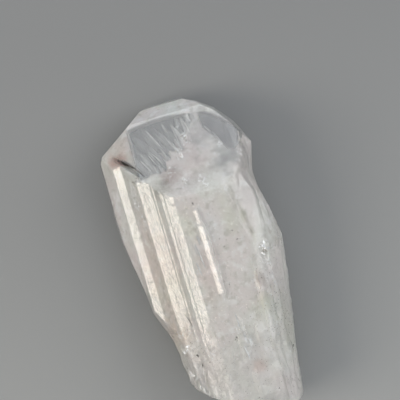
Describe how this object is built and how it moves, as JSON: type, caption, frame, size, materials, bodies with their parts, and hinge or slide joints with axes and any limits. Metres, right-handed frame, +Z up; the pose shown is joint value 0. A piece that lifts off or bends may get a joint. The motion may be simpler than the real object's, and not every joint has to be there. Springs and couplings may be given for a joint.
{
  "type": "danburite crystal",
  "caption": "Single natural danburite crystal, a striated prism with a wedge-shaped clear tip and a broken base, lying on one prism face.",
  "frame": {"origin": "middle of the bounding box's underside, on the surface that the crystal lies on", "axes": "+Y along the growth axis from the broken base to the tip, +Z up from the prism face that it lies on, +X across"},
  "size_m": [0.022, 0.046, 0.0146],
  "materials": {
    "danburite": "clear to milky crystal with a glassy lustre, frosted in places"
  },
  "bodies": {
    "root": {"crystal": "danburite"}
  },
  "joints": []
}
